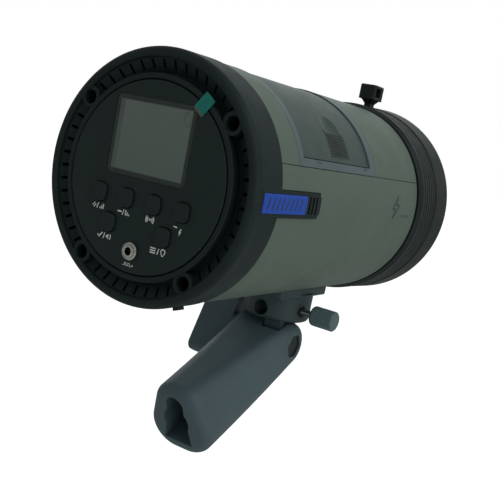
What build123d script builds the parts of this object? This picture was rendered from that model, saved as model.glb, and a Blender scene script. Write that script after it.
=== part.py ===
from build123d import *
import os
from math import cos, radians, sin, sqrt

os.makedirs("parts", exist_ok=True)

# Monolight strobe on a tilting grip. The row's origin is the centre of the stand socket's
# mouth in the grip, +Y runs forward along the light's optical axis and +Z is up.
# Inside the head, "forward" is measured from its rear face and "height" from the optical axis.

# ------------------------------------------------------------ driving dimensions, mm
HEAD_LENGTH = 239.7
COVER_R = 59.0
BODY_R = 58.4
SHELL_WALL = 2.4
COVER_LENGTH = 21.2
SHELL_END = 191.0
PART_LINE = 18.5          # height of the seam between upper and lower shells
SEAM = 0.15               # half the visible gap between two fixed shells
CLEAR = 0.3               # gap round a moving piece

GRIP_REACH = 89.2         # tilt axis to the socket's mouth
GRIP_SLOPE = 25.0         # degrees below horizontal
AXIS_ABOVE_PIVOT = 90.9
PIVOT_FORWARD = 143.2     # tilt axis, forward of the head's rear face

PIVOT_Y = GRIP_REACH * cos(radians(GRIP_SLOPE))
PIVOT_Z = GRIP_REACH * sin(radians(GRIP_SLOPE))
REAR_Y = PIVOT_Y - PIVOT_FORWARD
AXIS_Z = PIVOT_Z + AXIS_ABOVE_PIVOT

# rear cover and control panel
RIM_R, RIM_EDGE = 54.2, 4.0
DRUM_OUT, DRUM_IN, LEDGE_R = 46.9, 44.3, 41.0
CHANNEL_DEPTH, CHANNEL_SHELF = 6.2, 2.6
PANEL_R, PANEL_T = 43.7, 2.5
VENT_COUNT, VENT_W, VENT_IN, VENT_OUT = 52, 1.4, 49.2, 53.5
BOSS_RING_R, BOSS_R, BOSS_HOLE_R, BOSS_LENGTH = 50.9, 5.2, 3.4, 17.0
BOSS_ANGLES = (37.6, 142.4, -53.6, -126.4)
SCREW_HEAD_R, SCREW_R = 3.1, 1.5

# side tab and its badge
TAB_TOP, TAB_BOTTOM, TAB_START, TAB_END, TAB_CORNER = 7.3, -4.8, 5.4, 60.0, 2.5
TAB_R = 59.15
BADGE_START, BADGE_END, BADGE_TOP, BADGE_BOTTOM = 6.5, 45.8, 5.55, -3.1
GRILLE_SLOTS = (48.9, 52.2, 55.5)

# display, buttons and sync jack on the panel
WINDOW_W, WINDOW_H, WINDOW_Z, WINDOW_CORNER = 45.6, 36.5, 17.25, 3.0
BUTTON_W, BUTTON_H, BUTTON_CORNER, BUTTON_RISE = 8.0, 8.6, 2.6, 1.5
BUTTONS = {
    "button_plus": (-23.85, -10.7),
    "button_minus": (-7.95, -10.7),
    "button_channel": (7.95, -10.7),
    "button_lamp": (23.85, -10.7),
    "button_set": (-16.07, -23.5),
    "button_mode": (16.07, -23.5),
}
JACK_Z, JACK_BORE_R, JACK_NECK_R, JACK_NUT_R = -33.6, 1.8, 3.0, 4.2

# battery bay in the top of the head
FRAME_START, FRAME_END = 38.7, 126.8
BAY_START, BAY_END = 43.4, 120.2
BAY_FLOOR = 22.4
PACK_R = 57.7
LATCH_START, LATCH_END, LATCH_W, LATCH_ANGLE = 74.8, 95.8, 13.2, 32.4

# front ring and accessory bayonet
FRONT_R, SHOULDER_R, RIDGE_COUNT, RIDGE_PITCH = 62.0, 60.6, 6, 3.7
FRONT_BORE_R = 53.0
BAYONET_R, BAYONET_START, BAYONET_T = 46.0, 229.2, 4.0
LUG_ARC, LUG_R = 28.0, 51.5
PIN_HEIGHT, PIN_R = 49.6, 2.0

# accessory release lever on top of the front ring
STEM_FORWARD, STEM_X, STEM_Y, LEVER_TRAVEL = 221.0, 4.5, 6.0, 6.0
BLOCK_X, BLOCK_START, BLOCK_END, BLOCK_BOTTOM, BLOCK_TOP = 11.5, 213.6, 228.0, 65.8, 75.4

# tilt bracket below the head
SADDLE_X, SADDLE_START, SADDLE_END, SADDLE_BOTTOM = 38.0, 118.0, 176.0, -61.0
TURRET_R, TURRET_FORWARD, TURRET_BOTTOM = 20.7, 149.0, -77.0
UMBRELLA_Z, UMBRELLA_R, SHAFT_LEAD = -70.6, 4.6, 0.5
KNOB_FORWARD, KNOB_R, KNOB_START, KNOB_END, KNOB_Z = 144.0, 6.0, 27.2, 42.6, -69.2
CLAMP_SCREW_R = 2.0
TONGUE_X, TONGUE_R, NECK_HALF, BOLT_R, INSERT_R = 11.0, 12.0, 9.5, 4.0, 3.2

# grip
GRIP_X, EAR_R, EAR_EDGE, EAR_STEP, MOUTH_EDGE = 40.0, 13.3, 5.0, 0.1, 6.0
# The grip's section narrows towards its upper side. Each section is drawn round two upper and
# two lower corner circles: (half spacing, radius, height of centre) of the upper and lower pair.
MOUTH_SECTION = ((2.0, 13.5, 7.6), (3.2, 16.2, -6.2))
MIDDLE_SECTION = ((7.0, 10.0, 7.6), (8.4, 11.6, -7.4))
FORK_MID_X, FORK_X, FORK_R = 7.5, 13.4, 16.0   # the fork stands right of centre
SOCKET_R, SOCKET_DEPTH = 8.2, 46.0
HEX_AF, HEX_HEAD = 13.0, 3.6
WING_IN, WING_OUT, WING_T, WING_L, WING_CORNER = -23.6, -47.2, 14.5, 46.0, 5.0
WING_LEAN = 67.4          # degrees from horizontal, leaning back at the bottom

# ------------------------------------------------------------ shared frames
OPTICAL_AXIS = Axis((0, REAR_Y, AXIS_Z), (0, 1, 0))
AXIAL = Plane(origin=(0, REAR_Y, AXIS_Z), x_dir=(0, 1, 0), z_dir=(1, 0, 0))
SOCKET = Plane(
    origin=(0, 0, 0),
    x_dir=(1, 0, 0),
    z_dir=(0, -cos(radians(GRIP_SLOPE)), -sin(radians(GRIP_SLOPE))),
)


def station(forward):
    """Plane across the head, seen from behind; a negative extrusion goes forward."""
    return Plane(origin=(0, REAR_Y + forward, AXIS_Z), x_dir=(1, 0, 0), z_dir=(0, -1, 0))


def side(x):
    """Plane along the head at one x; its local axes are forward and height."""
    return AXIAL.offset(x)


def level(height):
    """Horizontal plane in the head; its local axes are x and forward."""
    return Plane(origin=(0, REAR_Y, AXIS_Z + height), x_dir=(1, 0, 0), z_dir=(0, 0, 1))


def pivot_side(x):
    """Plane across the tilt axis at one x; its local axes are +Y and +Z from the axis."""
    return Plane(origin=(x, PIVOT_Y, PIVOT_Z), x_dir=(0, 1, 0), z_dir=(1, 0, 0))


def turned(points, mode=Mode.ADD):
    """Turn a closed profile of (forward, radius) points about the optical axis."""
    with BuildSketch(AXIAL) as profile:
        with BuildLine():
            Polyline(*points, close=True)
        make_face()
    revolve(profile.sketch, axis=OPTICAL_AXIS, mode=mode)


def tube(start, end, outer, inner=0.0, x=0.0, height=0.0, mode=Mode.ADD):
    """Round bar or tube along the optical direction, between two stations."""
    with BuildSketch(station(start)) as ring:
        with Locations((x, height)):
            Circle(outer)
            if inner:
                Circle(inner, mode=Mode.SUBTRACT)
    extrude(ring.sketch, amount=-(end - start), mode=mode)


def block(x, forward, height, mode=Mode.ADD):
    """Box between two values along x, forward and height."""
    with BuildSketch(station(forward[0])) as face:
        with Locations(((x[0] + x[1]) / 2, (height[0] + height[1]) / 2)):
            Rectangle(x[1] - x[0], height[1] - height[0])
    extrude(face.sketch, amount=-(forward[1] - forward[0]), mode=mode)


def slab(x, size, corner, start, end, height=0.0, mode=Mode.ADD):
    """Plate with rounded corners that faces along the optical direction."""
    with BuildSketch(station(start)) as face:
        with Locations((x, height)):
            RectangleRounded(size[0], size[1], corner)
    extrude(face.sketch, amount=-(end - start), mode=mode)


# ------------------------------------------------------------ rear cover
with BuildPart() as rear_cover:
    turned([(COVER_LENGTH, COVER_R), (COVER_LENGTH, COVER_R - 2.6), (3.2, COVER_R - 2.6),
            (3.2, RIM_R + 1.2), (CHANNEL_SHELF + 2, RIM_R), (CHANNEL_DEPTH + 2, 48.3), (9.5, 48.3),
            (9.5, LEDGE_R), (PANEL_T + 0.1, LEDGE_R),
            (PANEL_T + 0.1, DRUM_IN), (0.5, DRUM_IN), (0.1, DRUM_IN + 0.4),
            (0.1, DRUM_OUT - 0.4), (0.5, DRUM_OUT), (CHANNEL_DEPTH, DRUM_OUT),
            (CHANNEL_DEPTH, 47.5), (CHANNEL_SHELF, RIM_R - 0.3), (0.8, RIM_R),
            (0, COVER_R - RIM_EDGE), (0, COVER_R)])
    rear_rim = rear_cover.edges().filter_by(GeomType.CIRCLE).group_by(Axis.Y)[0].sort_by(SortBy.RADIUS)[-1]
    fillet(rear_rim, RIM_EDGE - 0.4)
    # vents through the channel's sloping wall
    with BuildSketch(station(-1)):
        with PolarLocations((VENT_IN + VENT_OUT) / 2, VENT_COUNT, start_angle=180 / VENT_COUNT):
            Rectangle(VENT_OUT - VENT_IN, VENT_W)
    extrude(amount=-14, mode=Mode.SUBTRACT)
    # screw wells
    for angle in BOSS_ANGLES:
        well_x = BOSS_RING_R * cos(radians(angle))
        well_z = BOSS_RING_R * sin(radians(angle))
        tube(0.9, BOSS_LENGTH, BOSS_R, x=well_x, height=well_z)
        tube(0.5, BOSS_LENGTH - 2.5, BOSS_HOLE_R, x=well_x, height=well_z, mode=Mode.SUBTRACT)
        tube(0.5, BOSS_LENGTH + 1, SCREW_R + 0.2, x=well_x, height=well_z, mode=Mode.SUBTRACT)
    # side tab that runs forward over the lower shell
    with BuildPart(mode=Mode.PRIVATE) as tab:
        with BuildSketch(side(50)):
            with BuildLine():
                Polyline((TAB_START, TAB_BOTTOM), (TAB_END - TAB_CORNER, TAB_BOTTOM),
                         (TAB_END, TAB_BOTTOM + TAB_CORNER), (TAB_END, TAB_TOP - TAB_CORNER),
                         (TAB_END - TAB_CORNER, TAB_TOP), (TAB_START, TAB_TOP), close=True)
            make_face()
        extrude(amount=15)
        tube(0, 70, TAB_R, TAB_R - 2.2, mode=Mode.INTERSECT)
    add(tab.part)
    # pocket for the badge and the three grille slots
    with BuildPart(mode=Mode.PRIVATE) as pocket:
        with BuildSketch(side(50)):
            with Locations(((BADGE_START + BADGE_END) / 2, (BADGE_TOP + BADGE_BOTTOM) / 2)):
                RectangleRounded(BADGE_END - BADGE_START + 0.3, BADGE_TOP - BADGE_BOTTOM + 0.3, 0.9)
        extrude(amount=15)
        tube(0, 70, TAB_R + 5, TAB_R - 0.7, mode=Mode.INTERSECT)
    add(pocket.part, mode=Mode.SUBTRACT)
    with BuildSketch(side(55)):
        for slot in GRILLE_SLOTS:
            with Locations((slot, (TAB_TOP + TAB_BOTTOM) / 2)):
                Rectangle(1.6, 8.2)
    extrude(amount=10, mode=Mode.SUBTRACT)
rear_cover.part.label = "rear_cover"
export_step(rear_cover.part, "parts/rear_cover.step")

with BuildPart() as badge_plate:
    with BuildSketch(side(50)):
        with Locations(((BADGE_START + BADGE_END) / 2, (BADGE_TOP + BADGE_BOTTOM) / 2)):
            RectangleRounded(BADGE_END - BADGE_START, BADGE_TOP - BADGE_BOTTOM, 0.8)
    extrude(amount=15)
    tube(0, 70, TAB_R + 0.1, TAB_R - 0.7, mode=Mode.INTERSECT)
badge_plate.part.label = "badge_plate"
export_step(badge_plate.part, "parts/badge_plate.step")

with BuildPart() as rear_cover_screws:
    for angle in BOSS_ANGLES:
        screw_x = BOSS_RING_R * cos(radians(angle))
        screw_z = BOSS_RING_R * sin(radians(angle))
        tube(BOSS_LENGTH - 5.0, BOSS_LENGTH - 2.5, SCREW_HEAD_R, x=screw_x, height=screw_z)
        tube(BOSS_LENGTH - 2.5, BOSS_LENGTH + 13, SCREW_R, x=screw_x, height=screw_z)
rear_cover_screws.part.label = "rear_cover_screws"
export_step(rear_cover_screws.part, "parts/rear_cover_screws.step")

FOOT_ANGLE, FOOT_R, FOOT_FORWARD, FOOT_RISE = 68.2, 2.6, 13.0, 1.5
with BuildPart() as rear_feet:
    for turn in (-90 + (90 - FOOT_ANGLE), -90 - (90 - FOOT_ANGLE)):
        outward = (cos(radians(turn)), 0, sin(radians(turn)))
        foot_face = Plane(origin=(0, REAR_Y + FOOT_FORWARD, AXIS_Z), x_dir=(0, 1, 0), z_dir=outward)
        with BuildSketch(foot_face.offset(COVER_R - 1)):
            Circle(FOOT_R)
        extrude(amount=FOOT_RISE + 1)
    tube(0, 30, COVER_R, mode=Mode.SUBTRACT)
rear_feet.part.label = "rear_feet"
export_step(rear_feet.part, "parts/rear_feet.step")

# ------------------------------------------------------------ control panel
with BuildPart() as control_panel:
    tube(0, PANEL_T, PANEL_R)
    slab(0, (WINDOW_W + 0.2, WINDOW_H + 0.2), WINDOW_CORNER, -1, 1.6, WINDOW_Z, Mode.SUBTRACT)
    slab(0, (WINDOW_W - 4, WINDOW_H - 4), WINDOW_CORNER - 1, -1, 4, WINDOW_Z, Mode.SUBTRACT)
    for button_x, button_z in BUTTONS.values():
        slab(button_x, (BUTTON_W + 2 * CLEAR, BUTTON_H + 2 * CLEAR), BUTTON_CORNER + CLEAR,
             -1, 4, button_z, Mode.SUBTRACT)
    tube(-1, 4, JACK_NECK_R + 0.1, height=JACK_Z, mode=Mode.SUBTRACT)
    chamfer(control_panel.edges().filter_by(GeomType.CIRCLE).group_by(Axis.Y)[0].sort_by(SortBy.RADIUS)[-1], 0.3)
control_panel.part.label = "control_panel"
export_step(control_panel.part, "parts/control_panel.step")

with BuildPart() as display_window:
    slab(0, (WINDOW_W, WINDOW_H), WINDOW_CORNER - 0.1, 0.2, 1.5, WINDOW_Z)
display_window.part.label = "display_window"
export_step(display_window.part, "parts/display_window.step")

with BuildPart() as display_module:
    slab(0, (WINDOW_W - 4.4, WINDOW_H - 4.4), WINDOW_CORNER - 1.2, 1.6, 2.7, WINDOW_Z)
    slab(0, (WINDOW_W - 1, WINDOW_H - 4), 0.8, 2.7, 7.0, WINDOW_Z)
display_module.part.label = "display_module"
export_step(display_module.part, "parts/display_module.step")

with BuildPart() as screen_film:
    slab(0, (WINDOW_W - 1.2, WINDOW_H - 1.2), WINDOW_CORNER - 0.6, -0.1, 0.15, WINDOW_Z)
screen_film.part.label = "screen_film"
export_step(screen_film.part, "parts/screen_film.step")

FILM_TAB_CENTRE, FILM_TAB_SIZE, FILM_TAB_TURN = (25.3, 36.6), (9.4, 6.3), 53.6
with BuildPart() as film_tab:
    with BuildSketch(station(-0.5)):
        with Locations(Location(FILM_TAB_CENTRE, FILM_TAB_TURN)):
            RectangleRounded(FILM_TAB_SIZE[0], FILM_TAB_SIZE[1], 0.6)
    extrude(amount=-0.3)
film_tab.part.label = "film_tab"
export_step(film_tab.part, "parts/film_tab.step")

# Each cap stands out of the panel and is kept in by a flange behind it.
CAP_END, FLANGE_START, FLANGE_END, FLANGE_RIM = 4.3, 2.8, 3.8, 0.9
for name, (button_x, button_z) in BUTTONS.items():
    with BuildPart() as button:
        slab(button_x, (BUTTON_W, BUTTON_H), BUTTON_CORNER, -BUTTON_RISE, CAP_END, button_z)
        fillet(button.faces().sort_by(Axis.Y)[0].edges(), 0.5)
        slab(button_x, (BUTTON_W + 2 * FLANGE_RIM, BUTTON_H + 2 * FLANGE_RIM), BUTTON_CORNER,
             FLANGE_START, FLANGE_END, button_z)
    button.part.label = name
    export_step(button.part, f"parts/{name}.step")

BOARD_START, BOARD_T, SWITCH_RISE = 6.2, 1.6, 1.2
with BuildPart() as button_board:
    with BuildSketch(station(BOARD_START)):
        Circle(LEDGE_R - 2)
        with Locations((0, 42)):
            Rectangle(100, 90, mode=Mode.SUBTRACT)
        with Locations((0, JACK_Z)):
            Circle(JACK_NUT_R + 0.6, mode=Mode.SUBTRACT)
    extrude(amount=-BOARD_T)
    for button_x, button_z in BUTTONS.values():
        slab(button_x, (6.2, 6.2), 0.5, BOARD_START - SWITCH_RISE, BOARD_START, button_z)
button_board.part.label = "button_board"
export_step(button_board.part, "parts/button_board.step")

JACK_TIP = -3.0
with BuildPart() as sync_jack:
    tube(JACK_TIP, PANEL_T, JACK_NECK_R, height=JACK_Z)
    tube(PANEL_T, 15, JACK_NUT_R, height=JACK_Z)
    tube(JACK_TIP - 1, 11, JACK_BORE_R, height=JACK_Z, mode=Mode.SUBTRACT)
    chamfer(sync_jack.faces().sort_by(Axis.Y)[0].edges(), 0.35)
sync_jack.part.label = "sync_jack"
export_step(sync_jack.part, "parts/sync_jack.step")

KNURL_COUNT = 24
with BuildPart() as sync_jack_nut:
    tube(-2.1, -0.05, JACK_NUT_R, JACK_NECK_R + 0.05, height=JACK_Z)
    chamfer(sync_jack_nut.faces().sort_by(Axis.Y)[0].outer_wire().edges(), 0.4)
    with BuildSketch(station(-3)):
        with Locations((0, JACK_Z)):
            with PolarLocations(JACK_NUT_R + 0.1, KNURL_COUNT):
                Rectangle(0.45, 0.4)
    extrude(amount=-2.95, mode=Mode.SUBTRACT)
sync_jack_nut.part.label = "sync_jack_nut"
export_step(sync_jack_nut.part, "parts/sync_jack_nut.step")

# ------------------------------------------------------------ body shells
SHELL_START = COVER_LENGTH + 0.2
SHELL_IN = BODY_R - SHELL_WALL
SHELL_BOSS_R, SHELL_BOSS_END = 5.2, 36.0
SADDLE_SCREWS = [(x, y) for x in (-14.0, 14.0) for y in (123.0, 171.0)]


def shell_bosses(angles):
    """Screw bosses on the inside of a shell, bored for the rear cover's screws."""
    for angle in angles:
        boss_x = BOSS_RING_R * cos(radians(angle))
        boss_z = BOSS_RING_R * sin(radians(angle))
        tube(SHELL_START, SHELL_BOSS_END, SHELL_BOSS_R, x=boss_x, height=boss_z)
        tube(SHELL_START - 1, SHELL_BOSS_END + 1, SCREW_R + 0.05, x=boss_x, height=boss_z,
             mode=Mode.SUBTRACT)


with BuildPart() as lower_shell:
    tube(SHELL_START, SHELL_END, BODY_R, SHELL_IN)
    shell_bosses(BOSS_ANGLES[2:])
    block((-70, 70), (0, 200), (PART_LINE - SEAM, 80), Mode.SUBTRACT)
    # recess for the cover's side tab
    with BuildSketch(side(TAB_R - 2.8)):
        with Locations((TAB_END / 2, (TAB_TOP + TAB_BOTTOM) / 2)):
            Rectangle(TAB_END + 0.4, TAB_TOP - TAB_BOTTOM + 0.4)
    extrude(amount=8, mode=Mode.SUBTRACT)
    for screw_x, screw_f in SADDLE_SCREWS:
        with BuildSketch(level(-70)):
            with Locations((screw_x, screw_f)):
                Circle(2.2)
        extrude(amount=30, mode=Mode.SUBTRACT)
lower_shell.part.label = "lower_shell"
export_step(lower_shell.part, "parts/lower_shell.step")

with BuildPart() as upper_rear_shell:
    tube(SHELL_START, FRAME_START - SEAM, BODY_R, SHELL_IN)
    shell_bosses(BOSS_ANGLES[:2])
    block((-70, 70), (0, 200), (-80, PART_LINE + SEAM), Mode.SUBTRACT)
upper_rear_shell.part.label = "upper_rear_shell"
export_step(upper_rear_shell.part, "parts/upper_rear_shell.step")

with BuildPart() as upper_front_shell:
    tube(FRAME_END + SEAM, SHELL_END, BODY_R, SHELL_IN)
    block((-70, 70), (0, 200), (-80, PART_LINE + SEAM), Mode.SUBTRACT)
upper_front_shell.part.label = "upper_front_shell"
export_step(upper_front_shell.part, "parts/upper_front_shell.step")

# ------------------------------------------------------------ battery bay and pack
BAY_WALL = 2.2
BAY_NOTCHES = (58.5, 112.8)
with BuildPart() as battery_frame:
    tube(FRAME_START + SEAM, FRAME_END - SEAM, BODY_R)
    block((-70, 70), (0, 200), (-80, PART_LINE + SEAM), Mode.SUBTRACT)
    block((-70, 70), (BAY_START, BAY_END), (BAY_FLOOR, 80), Mode.SUBTRACT)
    # hollow the end walls, which leaves a thin bulkhead and a rim at each end
    for start, end in ((FRAME_START, BAY_START - BAY_WALL), (BAY_END + BAY_WALL, FRAME_END)):
        with BuildPart(mode=Mode.PRIVATE) as hollow:
            tube(start, end, SHELL_IN)
            block((-70, 70), (0, 200), (-80, PART_LINE + BAY_WALL), Mode.SUBTRACT)
        add(hollow.part, mode=Mode.SUBTRACT)
    for notch in BAY_NOTCHES:
        block((-70, 70), (notch - 2.4, notch + 2.4), (BAY_FLOOR - 1.5, BAY_FLOOR + 5), Mode.SUBTRACT)
        block((-54, 54), (notch - 2.4, notch + 2.4), (BAY_FLOOR - 1.5, BAY_FLOOR))
battery_frame.part.label = "battery_frame"
export_step(battery_frame.part, "parts/battery_frame.step")

with BuildPart() as battery_terminals:
    block((-14, 14), (48, 56), (BAY_FLOOR, BAY_FLOOR + 2.0))
    for blade in (-9, -3, 3, 9):
        block((blade - 0.8, blade + 0.8), (49, 55), (BAY_FLOOR + 2.0, BAY_FLOOR + 4.4))
battery_terminals.part.label = "battery_terminals"
export_step(battery_terminals.part, "parts/battery_terminals.step")

LATCH_MID = (LATCH_START + LATCH_END) / 2
LATCH_L = LATCH_END - LATCH_START
RIDGES, RIDGE_GAP = 14, 0.42


def latch_plane(angle, radius):
    """Plane facing outward from the optical axis at one angle; local x is forward."""
    outward = Vector(cos(radians(angle)), 0, sin(radians(angle)))
    origin = Vector(0, REAR_Y + LATCH_MID, AXIS_Z) + outward * radius
    return Plane(origin=origin, x_dir=(0, 1, 0), z_dir=outward)


with BuildPart() as battery_pack:
    tube(BAY_START + CLEAR, BAY_END - CLEAR, PACK_R)
    block((-70, 70), (0, 200), (-80, BAY_FLOOR + CLEAR), Mode.SUBTRACT)
    block((-15, 15), (47, 57), (0, BAY_FLOOR + 5), Mode.SUBTRACT)
    for angle in (LATCH_ANGLE, 180 - LATCH_ANGLE):
        with BuildSketch(latch_plane(angle, PACK_R - 5.5)):
            Rectangle(LATCH_L + 2 * CLEAR, LATCH_W + 2 * CLEAR)
        extrude(amount=10, mode=Mode.SUBTRACT)
        # shallow finger scoop above the latch
        scoop_turn = angle + 10.0 if angle < 90 else angle - 10.0
        scoop = latch_plane(scoop_turn, PACK_R + 23.4).origin
        with Locations(scoop):
            Sphere(25.0, mode=Mode.SUBTRACT)
battery_pack.part.label = "battery_pack"
export_step(battery_pack.part, "parts/battery_pack.step")

for name, angle in {"battery_latch_right": LATCH_ANGLE, "battery_latch_left": 180 - LATCH_ANGLE}.items():
    with BuildPart() as latch:
        with BuildSketch(latch_plane(angle, PACK_R - 3.4)):
            Rectangle(LATCH_L, LATCH_W)
        extrude(amount=10)
        tube(60, 110, PACK_R - 0.1, mode=Mode.INTERSECT)
        # ridges run fore and aft across the press pad
        with BuildSketch(latch_plane(angle, PACK_R - 0.9)):
            for ridge in range(RIDGES - 1):
                with Locations((0, (ridge - (RIDGES - 2) / 2) * LATCH_W / RIDGES)):
                    Rectangle(LATCH_L - 1.6, RIDGE_GAP)
        extrude(amount=5, mode=Mode.SUBTRACT)
    latch.part.label = name
    export_step(latch.part, f"parts/{name}.step")

# ------------------------------------------------------------ front ring and bayonet
RING_START = SHELL_END + 0.2
RIDGE_START, GROOVE_R, GROOVE_END = 198.0, 56.6, 193.9
ridge_profile = []
for ridge in range(RIDGE_COUNT):
    foot = RIDGE_START + ridge * RIDGE_PITCH
    ridge_profile += [(foot, SHOULDER_R), (foot + 2.2, SHOULDER_R),
                      (foot + 2.6, SHOULDER_R - 0.9), (foot + 3.3, SHOULDER_R - 0.9)]
RIDGE_END = RIDGE_START + RIDGE_COUNT * RIDGE_PITCH
STEM_SLOT_START = STEM_FORWARD - STEM_Y / 2 - LEVER_TRAVEL - CLEAR
STEM_SLOT_END = STEM_FORWARD + STEM_Y / 2 + CLEAR

with BuildPart() as front_ring:
    turned([(186, FRONT_BORE_R), (186, SHELL_IN - 0.2), (RING_START, SHELL_IN - 0.2),
            (RING_START, GROOVE_R), (GROOVE_END, GROOVE_R), (GROOVE_END, GROOVE_R + 2.2),
            (197.0, SHOULDER_R), *ridge_profile,
            (RIDGE_END, SHOULDER_R), (RIDGE_END + 0.8, 61.2), (HEAD_LENGTH - 0.7, FRONT_R),
            (HEAD_LENGTH, FRONT_R - 0.7), (HEAD_LENGTH, 59.6), (236, 58.4),
            (BAYONET_START + BAYONET_T, 57.5), (BAYONET_START, 57.5), (BAYONET_START, FRONT_BORE_R)])
    block((-STEM_X / 2 - CLEAR, STEM_X / 2 + CLEAR), (STEM_SLOT_START, STEM_SLOT_END), (40, 70),
          Mode.SUBTRACT)
    for angle in (90, 210, 330):
        tube(220, 232, 1.6, x=55.2 * cos(radians(angle + 20)), height=55.2 * sin(radians(angle + 20)),
             mode=Mode.SUBTRACT)
front_ring.part.label = "front_ring"
export_step(front_ring.part, "parts/front_ring.step")

with BuildPart() as bayonet_ring:
    tube(BAYONET_START, BAYONET_START + BAYONET_T, 57.3, BAYONET_R)
    with BuildSketch(station(BAYONET_START - 1)):
        for angle in (30, 150, 270):
            with BuildLine():
                lug_from, lug_to = angle - LUG_ARC / 2, angle + LUG_ARC / 2
                CenterArc((0, 0), LUG_R, lug_from, LUG_ARC)
                CenterArc((0, 0), BAYONET_R - 2, lug_from, LUG_ARC)
                for edge in (lug_from, lug_to):
                    PolarLine((BAYONET_R - 2) * Vector(cos(radians(edge)), sin(radians(edge))),
                              LUG_R - BAYONET_R + 2, edge)
            make_face()
    extrude(amount=-BAYONET_T - 2, mode=Mode.SUBTRACT)
    tube(BAYONET_START - 1, BAYONET_START + BAYONET_T + 1, PIN_R + 0.08, height=PIN_HEIGHT,
         mode=Mode.SUBTRACT)
    for angle in (90, 210, 330):
        tube(BAYONET_START - 1, BAYONET_START + BAYONET_T + 1, 1.6, x=55.2 * cos(radians(angle + 20)),
             height=55.2 * sin(radians(angle + 20)), mode=Mode.SUBTRACT)
bayonet_ring.part.label = "bayonet_ring"
export_step(bayonet_ring.part, "parts/bayonet_ring.step")

with BuildPart() as bayonet_screws:
    for angle in (90, 210, 330):
        screw_x = 55.2 * cos(radians(angle + 20))
        screw_z = 55.2 * sin(radians(angle + 20))
        tube(221, BAYONET_START + BAYONET_T, 1.5, x=screw_x, height=screw_z)
        tube(BAYONET_START + BAYONET_T, BAYONET_START + BAYONET_T + 1.2, 2.2, x=screw_x, height=screw_z)
bayonet_screws.part.label = "bayonet_screws"
export_step(bayonet_screws.part, "parts/bayonet_screws.step")

# ------------------------------------------------------------ release lever
FOOT_HEIGHT, NECK_BOTTOM, BLOCK_CORNER, POCKET_DEPTH = 46.6, 63.0, 1.6, 4.2
with BuildPart() as release_lever:
    block((-STEM_X / 2, STEM_X / 2), (STEM_FORWARD - STEM_Y / 2, STEM_FORWARD + STEM_Y / 2),
          (FOOT_HEIGHT, BLOCK_BOTTOM))
    block((-BLOCK_X / 2, BLOCK_X / 2), (BLOCK_START, BLOCK_END), (BLOCK_BOTTOM, BLOCK_TOP))
    upright = release_lever.edges().filter_by(Axis.Z).filter_by_position(
        Axis.Z, AXIS_Z + BLOCK_BOTTOM, AXIS_Z + BLOCK_TOP)
    fillet(upright, BLOCK_CORNER)
    fillet(release_lever.edges().group_by(Axis.Z)[-1], 1.0)
    # splayed neck between the block and its stem
    with BuildSketch(level(BLOCK_BOTTOM + 0.1)):
        with Locations((0, STEM_FORWARD)):
            Rectangle(BLOCK_X - 2.4, STEM_Y + 3.0)
    with BuildSketch(level(NECK_BOTTOM)):
        with Locations((0, STEM_FORWARD)):
            Rectangle(STEM_X, STEM_Y)
    loft()
    for cheek in (-1, 1):
        pocket_x = sorted((cheek * (BLOCK_X / 2 - POCKET_DEPTH), cheek * (BLOCK_X / 2 + 1)))
        block(pocket_x, (BLOCK_START + 1.8, BLOCK_START + 9.4), (BLOCK_BOTTOM + 1.9, BLOCK_TOP - 1.9),
              Mode.SUBTRACT)
    tube(STEM_FORWARD, STEM_FORWARD + 5, PIN_R, height=PIN_HEIGHT, mode=Mode.SUBTRACT)
release_lever.part.label = "release_lever"
export_step(release_lever.part, "parts/release_lever.step")

PIN_END = BAYONET_START + BAYONET_T + 3.0
with BuildPart() as lock_pin:
    tube(STEM_FORWARD, PIN_END, PIN_R, height=PIN_HEIGHT)
    chamfer(lock_pin.faces().sort_by(Axis.Y)[-1].edges(), 0.6)
lock_pin.part.label = "lock_pin"
export_step(lock_pin.part, "parts/lock_pin.step")

# ------------------------------------------------------------ light source
BASE_R, BASE_END, PAN_FLOOR = 21.8, 203.0, 201.2
TUBE_MID, TUBE_RING_R, TUBE_R = 212.0, 17.5, 3.2
DOME_R, DOME_WALL, DOME_SPRING = 26.2, 1.6, 210.0
with BuildPart() as reflector_pan:
    turned([(200, 22.0), (200, 28.7), (220.8, 50.0), (220.8, 52.8), (222, 52.8), (222, 49.6),
            (PAN_FLOOR, 28.2), (PAN_FLOOR, 22.0)])
    block((-4, 4), (STEM_SLOT_START - 1, 223), (43, 60), Mode.SUBTRACT)
reflector_pan.part.label = "reflector_pan"
export_step(reflector_pan.part, "parts/reflector_pan.step")

with BuildPart() as tube_base:
    tube(196, BASE_END, BASE_R)
    chamfer(tube_base.faces().sort_by(Axis.Y)[-1].edges(), 0.8)
tube_base.part.label = "tube_base"
export_step(tube_base.part, "parts/tube_base.step")

with BuildPart() as flash_tube:
    with BuildSketch(AXIAL):
        with Locations((TUBE_MID, TUBE_RING_R)):
            Circle(TUBE_R)
    revolve(axis=OPTICAL_AXIS)
    for angle in (-70, -110):
        tube(BASE_END, TUBE_MID, TUBE_R, x=TUBE_RING_R * cos(radians(angle)),
             height=TUBE_RING_R * sin(radians(angle)))
flash_tube.part.label = "flash_tube"
export_step(flash_tube.part, "parts/flash_tube.step")

with BuildPart() as modeling_lamp:
    slab(0, (19, 19), 1.5, 203, 204.4)
    tube(204.4, 205.4, 8.5)
modeling_lamp.part.label = "modeling_lamp"
export_step(modeling_lamp.part, "parts/modeling_lamp.step")

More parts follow.
